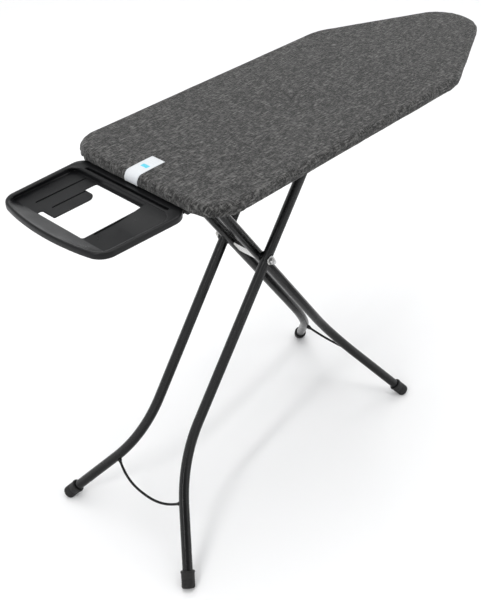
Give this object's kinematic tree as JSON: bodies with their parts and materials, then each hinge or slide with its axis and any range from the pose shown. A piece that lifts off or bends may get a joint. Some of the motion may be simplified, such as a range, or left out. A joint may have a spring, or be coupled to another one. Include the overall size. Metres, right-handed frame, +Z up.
{
  "type": "ironing board",
  "caption": "Folding ironing board with a fabric-covered top, crossed tubular leg frames, sliding height adjustment and a steam-iron rest at the rear end.",
  "frame": {"origin": "on the floor, at the centre of the whole object's bounding box seen from above, with the board at its top height", "axes": "+X towards the nose of the board, away from the iron rest; +Y towards the left side of someone facing the nose; +Z up"},
  "size_m": [1.419, 0.4763, 0.989],
  "materials": {
    "melange_fabric": "woven dark grey melange cotton, matte",
    "foam": "open-cell foam, matte",
    "label_satin": "satin label tape",
    "black_powder_coat": "semi-gloss black powder coat",
    "grey_sheet_steel": "grey coated sheet steel",
    "zinc_plate": "bright zinc plate",
    "black_rubber": "satin black rubber",
    "charcoal_plastic": "fine-grained satin moulding",
    "natural_nylon": "natural nylon"
  },
  "bodies": {
    "board": {"cover": "melange_fabric", "foam_pad": "foam", "top_panel": "grey_sheet_steel", "rim_tube": "grey_sheet_steel", "rear_cross_member": "grey_sheet_steel", "middle_cross_member": "grey_sheet_steel", "front_cross_member": "grey_sheet_steel", "slide_rail_left": "black_powder_coat", "slide_rail_right": "black_powder_coat", "hinge_rod": "zinc_plate", "hinge_nut_left": "zinc_plate", "hinge_nut_right": "zinc_plate", "iron_rest": "charcoal_plastic", "rest_arm_left": "black_powder_coat", "rest_arm_right": "black_powder_coat", "rest_screw_outer_left": "zinc_plate", "rest_screw_inner_left": "zinc_plate", "rest_screw_outer_right": "zinc_plate", "rest_screw_inner_right": "zinc_plate", "cover_label": "label_satin", "lock_pivot_bolt_left": "zinc_plate", "lock_pivot_bolt_right": "zinc_plate", "lock_spring": "zinc_plate", "hook_bracket": "black_powder_coat", "hook_pin": "zinc_plate"},
    "inner_frame": {"inner_tube_left": "black_powder_coat", "inner_tube_right": "black_powder_coat", "hinge_spacer": "black_powder_coat", "inner_web_plate": "black_powder_coat", "axle_bracket": "zinc_plate", "inner_wire_bow": "black_powder_coat", "inner_foot_left": "black_rubber", "inner_foot_right": "black_rubber", "axle": "zinc_plate", "axle_spacer_left": "charcoal_plastic", "axle_spacer_right": "charcoal_plastic", "axle_washer_left": "zinc_plate", "axle_washer_right": "zinc_plate", "axle_nut_left": "zinc_plate", "axle_nut_right": "zinc_plate"},
    "outer_frame": {"outer_tube_left": "black_powder_coat", "outer_tube_right": "black_powder_coat", "slide_rod": "zinc_plate", "outer_wire_bow": "black_powder_coat", "outer_foot_left": "black_rubber", "outer_foot_right": "black_rubber"},
    "slide_shoes": {"slide_shoe_left": "natural_nylon", "slide_shoe_right": "natural_nylon"},
    "height_lever": {"lock_plate_left": "grey_sheet_steel", "lock_plate_right": "grey_sheet_steel", "release_bar": "zinc_plate", "release_grip": "charcoal_plastic"},
    "transport_hook": {"transport_hook": "charcoal_plastic"}
  },
  "joints": [
    {"name": "stand_fold", "type": "hinge", "parent": "board", "child": "inner_frame", "pos_m": [-0.3625, 0, 0.94346], "axis": [0, -1, 0], "range_deg": [0, 50]},
    {"name": "leg_cross", "type": "hinge", "parent": "inner_frame", "child": "outer_frame", "pos_m": [-0.1629, 0, 0.6584], "axis": [0, -1, 0], "range_deg": [-100, 0]},
    {"name": "shoe_swivel", "type": "hinge", "parent": "outer_frame", "child": "slide_shoes", "pos_m": [0.0367, 0, 0.94346], "axis": [0, -1, 0], "range_deg": [0, 50]},
    {"name": "height_release", "type": "hinge", "parent": "board", "child": "height_lever", "pos_m": [0.368, 0, 0.94346], "axis": [0, -1, 0], "range_deg": [0, 6], "stiffness_Nm_per_rad": 3, "springref_deg": -20.05},
    {"name": "transport_hook_swing", "type": "hinge", "parent": "board", "child": "transport_hook", "pos_m": [0.5954, 0, 0.954], "axis": [0, -1, 0], "range_deg": [0, 90]}
  ],
  "couplings": [
    {"joint": "leg_cross", "follows": "stand_fold", "ratio": -2},
    {"joint": "shoe_swivel", "follows": "stand_fold", "ratio": 1}
  ]
}
